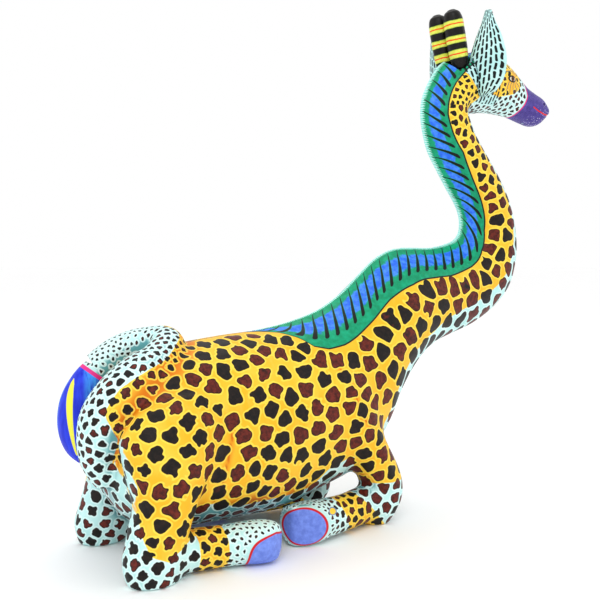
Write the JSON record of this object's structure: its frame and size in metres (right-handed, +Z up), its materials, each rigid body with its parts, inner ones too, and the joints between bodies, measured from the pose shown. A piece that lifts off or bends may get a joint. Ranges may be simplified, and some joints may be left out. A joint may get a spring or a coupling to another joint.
{
  "type": "carved giraffe statue",
  "caption": "Small painted wooden giraffe lying with folded legs and a long raised neck, with ears and horns that lift out on pegs.",
  "frame": {"origin": "middle of the plan of the whole carving, on the surface it lies on", "axes": "+X towards the head, +Y to the animal's left, +Z up"},
  "size_m": [0.3354, 0.1036, 0.3075],
  "materials": {
    "painted_body": "satin acrylic paint, orange-yellow and pale turquoise with dark spots, green and blue mane",
    "painted_ear": "satin acrylic paint, pale turquoise with short black strokes",
    "painted_horn": "satin acrylic paint, black with yellow and orange rings",
    "bare_wood": "bare whittled softwood"
  },
  "bodies": {
    "carving": {"torso": "painted_body", "neck": "painted_body", "head": "painted_body", "tail": "painted_body", "foreleg_left": "painted_body", "foreleg_right": "painted_body", "hindleg_left": "painted_body", "hindleg_right": "painted_body", "dowel_neck": "bare_wood", "dowel_head": "bare_wood", "dowel_tail": "bare_wood", "dowels_foreleg_left": "bare_wood", "dowels_foreleg_right": "bare_wood", "dowels_hindleg_left": "bare_wood", "dowels_hindleg_right": "bare_wood"},
    "horn_peg_left_body": {"horn_peg_left": "bare_wood"},
    "horn_left_body": {"horn_left": "painted_horn"},
    "ear_left_body": {"ear_left": "painted_ear", "ear_peg_left": "bare_wood"},
    "horn_peg_right_body": {"horn_peg_right": "bare_wood"},
    "horn_right_body": {"horn_right": "painted_horn"},
    "ear_right_body": {"ear_right": "painted_ear", "ear_peg_right": "bare_wood"}
  },
  "joints": [
    {"name": "horn_left_pull", "type": "slide", "parent": "carving", "child": "horn_peg_left_body", "axis": [-0.2419, 0, 0.9703], "range_m": [0, 0.024]},
    {"name": "horn_left_turn", "type": "hinge", "parent": "horn_peg_left_body", "child": "horn_left_body", "pos_m": [0.08258, 0.0066, 0.2715], "axis": [-0.2419, 0, 0.9703], "range_deg": [-180, 180]},
    {"name": "ear_left_pull", "type": "slide", "parent": "carving", "child": "ear_left_body", "axis": [0, 0.6, 0.8], "range_m": [0, 0.02]},
    {"name": "horn_right_pull", "type": "slide", "parent": "carving", "child": "horn_peg_right_body", "axis": [-0.2419, 0, 0.9703], "range_m": [0, 0.024]},
    {"name": "horn_right_turn", "type": "hinge", "parent": "horn_peg_right_body", "child": "horn_right_body", "pos_m": [0.08258, -0.0066, 0.2715], "axis": [-0.2419, 0, 0.9703], "range_deg": [-180, 180]},
    {"name": "ear_right_pull", "type": "slide", "parent": "carving", "child": "ear_right_body", "axis": [0, -0.6, 0.8], "range_m": [0, 0.02]}
  ]
}
